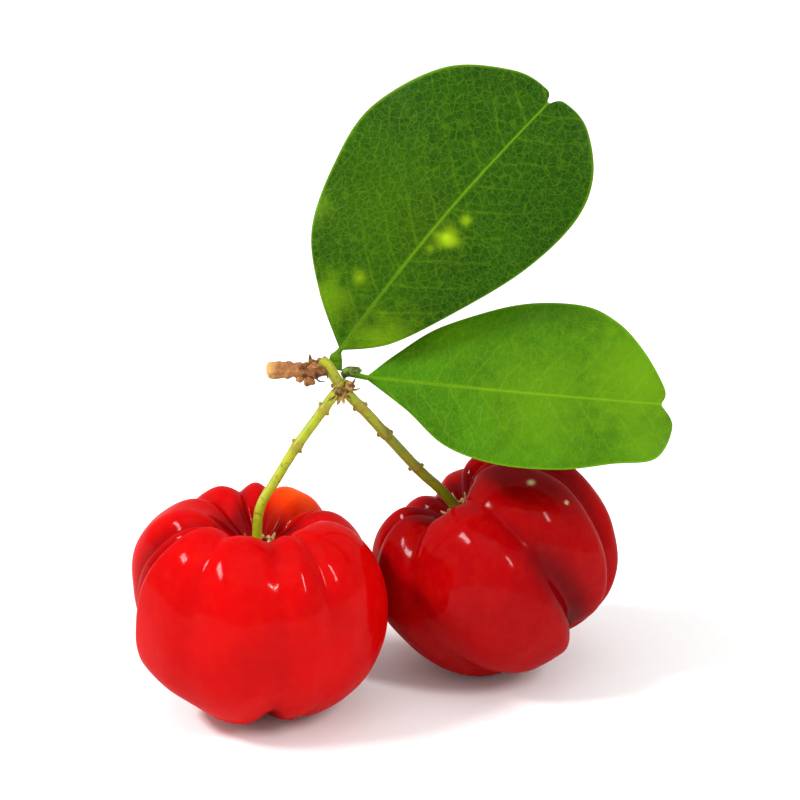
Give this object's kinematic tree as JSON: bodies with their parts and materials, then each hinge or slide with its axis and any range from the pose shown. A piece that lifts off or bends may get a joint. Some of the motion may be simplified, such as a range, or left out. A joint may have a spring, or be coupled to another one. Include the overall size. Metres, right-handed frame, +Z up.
{
  "type": "acerola fruit sprig",
  "caption": "Ripe red lobed acerola fruits on slender green stalks, joined by a short woody twig with green notched leaves; rests on the fruit's flat spots.",
  "frame": {"origin": "the flat spot under the left fruit, where it meets the surface", "axes": "+X towards the right fruit and the leaf tips, +Y away from the viewer, +Z up"},
  "size_m": [0.0524, 0.0341, 0.0609],
  "materials": {
    "fruit_skin_left": "glossy ripe fruit skin",
    "fruit_skin_right": "glossy ripe fruit skin",
    "dried_calyx": "dry and matte",
    "green_stalk": "smooth satin green",
    "dried_bract": "dry and matte",
    "bark": "rough bark",
    "leaf_dark": "leathery satin",
    "leaf_light": "leathery satin",
    "bud_scale": "satin"
  },
  "bodies": {
    "root": {"fruit_left": "fruit_skin_left", "fruit_right": "fruit_skin_right", "calyx_left": "dried_calyx", "calyx_right": "dried_calyx", "pedicel_left": "green_stalk", "pedicel_right": "green_stalk", "peduncle": "green_stalk", "fork": "dried_bract", "twig": "bark", "leaf_upper": "leaf_dark", "leaf_lower": "leaf_light", "bud": "bud_scale"}
  },
  "joints": []
}
